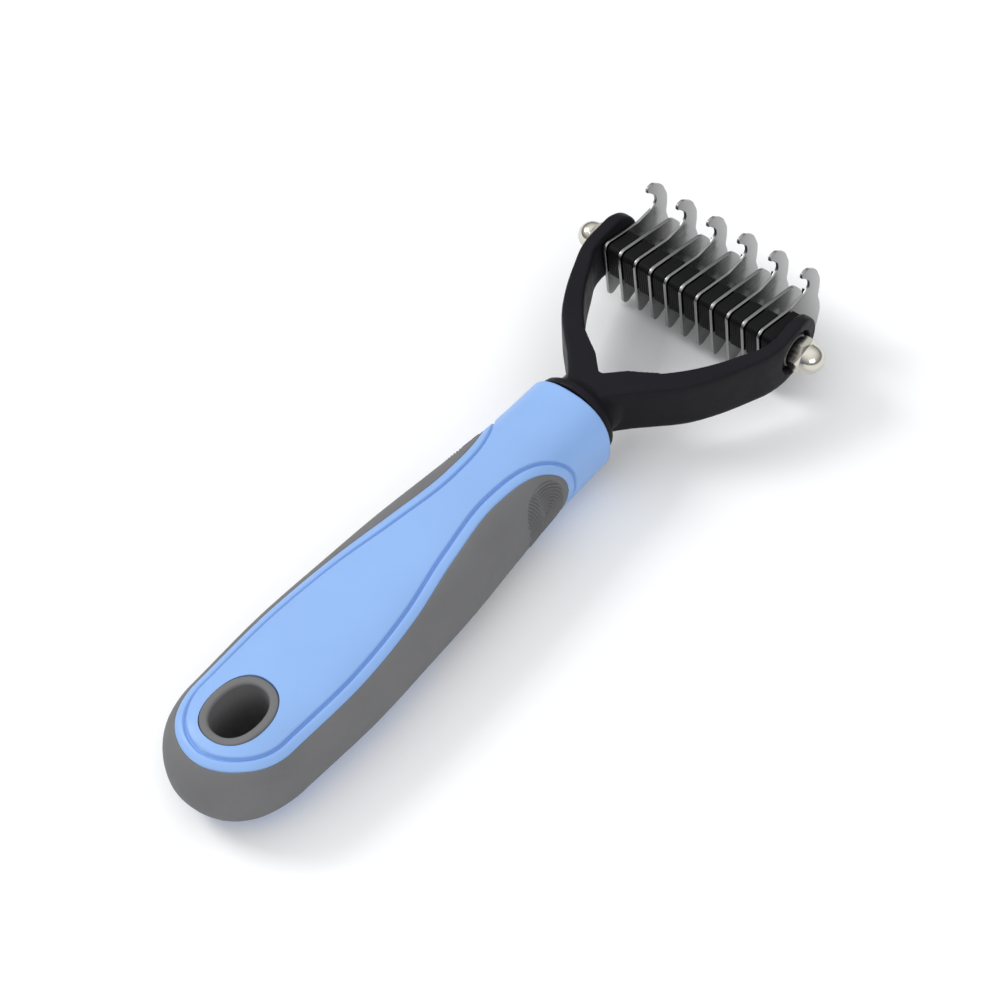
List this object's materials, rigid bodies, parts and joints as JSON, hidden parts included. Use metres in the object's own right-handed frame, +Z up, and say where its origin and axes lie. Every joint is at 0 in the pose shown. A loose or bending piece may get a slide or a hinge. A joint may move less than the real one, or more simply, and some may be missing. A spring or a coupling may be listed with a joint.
{
  "type": "dematting comb",
  "caption": "Hand comb for cutting mats out of a pet's coat: a fork on a soft-grip handle clamps a row of curved steel blades with hooked ends.",
  "frame": {"origin": "middle of the base of the bounding box, on the surface that the comb lies on", "axes": "+X along the clamp rod from the left nut to the right one, +Y from the handle's butt to the hooks, +Z up"},
  "size_m": [0.065, 0.177, 0.0258],
  "materials": {
    "blue_plastic": "satin moulded polypropylene, light blue",
    "grey_rubber": "soft matte thermoplastic rubber, mid grey",
    "black_plastic": "satin glass-filled nylon, near black",
    "spacer_plastic": "moulded, black",
    "blade_steel": "stamped stainless sheet with ground, polished edges",
    "zinc_plate": "bright zinc plate",
    "nickel_plate": "polished nickel plate"
  },
  "bodies": {
    "comb": {"handle_core": "blue_plastic", "grip_overmould": "grey_rubber", "hang_hole_grommet": "grey_rubber", "yoke": "black_plastic", "blade_01": "blade_steel", "blade_02": "blade_steel", "blade_03": "blade_steel", "blade_04": "blade_steel", "blade_05": "blade_steel", "blade_06": "blade_steel", "blade_07": "blade_steel", "blade_08": "blade_steel", "blade_09": "blade_steel", "blade_10": "blade_steel", "blade_11": "blade_steel", "spacer_01": "spacer_plastic", "spacer_02": "spacer_plastic", "spacer_03": "spacer_plastic", "spacer_04": "spacer_plastic", "spacer_05": "spacer_plastic", "spacer_06": "spacer_plastic", "spacer_07": "spacer_plastic", "spacer_08": "spacer_plastic", "spacer_09": "spacer_plastic", "spacer_10": "spacer_plastic", "end_spacer": "spacer_plastic", "clamp_rod": "zinc_plate"},
    "left_washer_body": {"left_washer": "zinc_plate"},
    "left_nut_body": {"left_cap_nut": "nickel_plate"},
    "right_washer_body": {"right_washer": "zinc_plate"},
    "right_nut_body": {"right_cap_nut": "nickel_plate"}
  },
  "joints": [
    {"name": "left_nut_travel", "type": "slide", "parent": "comb", "child": "left_washer_body", "axis": [-1, 0, 0], "range_m": [0, 0.0035]},
    {"name": "left_nut_turn", "type": "hinge", "parent": "left_washer_body", "child": "left_nut_body", "pos_m": [-0.0285, 0.07028, 0.01458], "axis": [-1, 0, 0], "range_deg": [0, 1800]},
    {"name": "right_nut_travel", "type": "slide", "parent": "comb", "child": "right_washer_body", "axis": [1, 0, 0], "range_m": [0, 0.0035]},
    {"name": "right_nut_turn", "type": "hinge", "parent": "right_washer_body", "child": "right_nut_body", "pos_m": [0.0285, 0.07028, 0.01458], "axis": [1, 0, 0], "range_deg": [0, 1800]}
  ],
  "couplings": [
    {"joint": "left_nut_turn", "follows": "left_nut_travel", "rad_per_m": 8976},
    {"joint": "right_nut_turn", "follows": "right_nut_travel", "rad_per_m": 8976}
  ]
}
